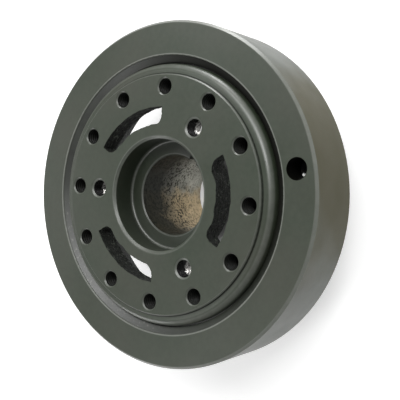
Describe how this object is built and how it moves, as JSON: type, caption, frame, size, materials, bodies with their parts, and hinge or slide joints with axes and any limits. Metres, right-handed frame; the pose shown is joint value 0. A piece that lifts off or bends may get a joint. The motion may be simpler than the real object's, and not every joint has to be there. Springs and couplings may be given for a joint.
{
  "type": "harmonic balancer",
  "caption": "Crankshaft vibration damper: an iron inertia ring bonded by an elastomer band to a bored hub with a keyway, cast windows and tapped pulley holes.",
  "frame": {"origin": "on the crank axis, at the nose end that the part stands on", "axes": "+Z along the crank axis from the seal nose to the pulley face; +X through the keyway and one pulley bolt hole"},
  "size_m": [0.1714, 0.1714, 0.066],
  "materials": {
    "hub": "matte grey-green protective coating",
    "elastomer_ring": "matte, overcoated with the hub's coating",
    "inertia_ring": "matte grey-green protective coating"
  },
  "bodies": {
    "root": {"hub": "hub", "elastomer_ring": "elastomer_ring", "inertia_ring": "inertia_ring"}
  },
  "joints": []
}
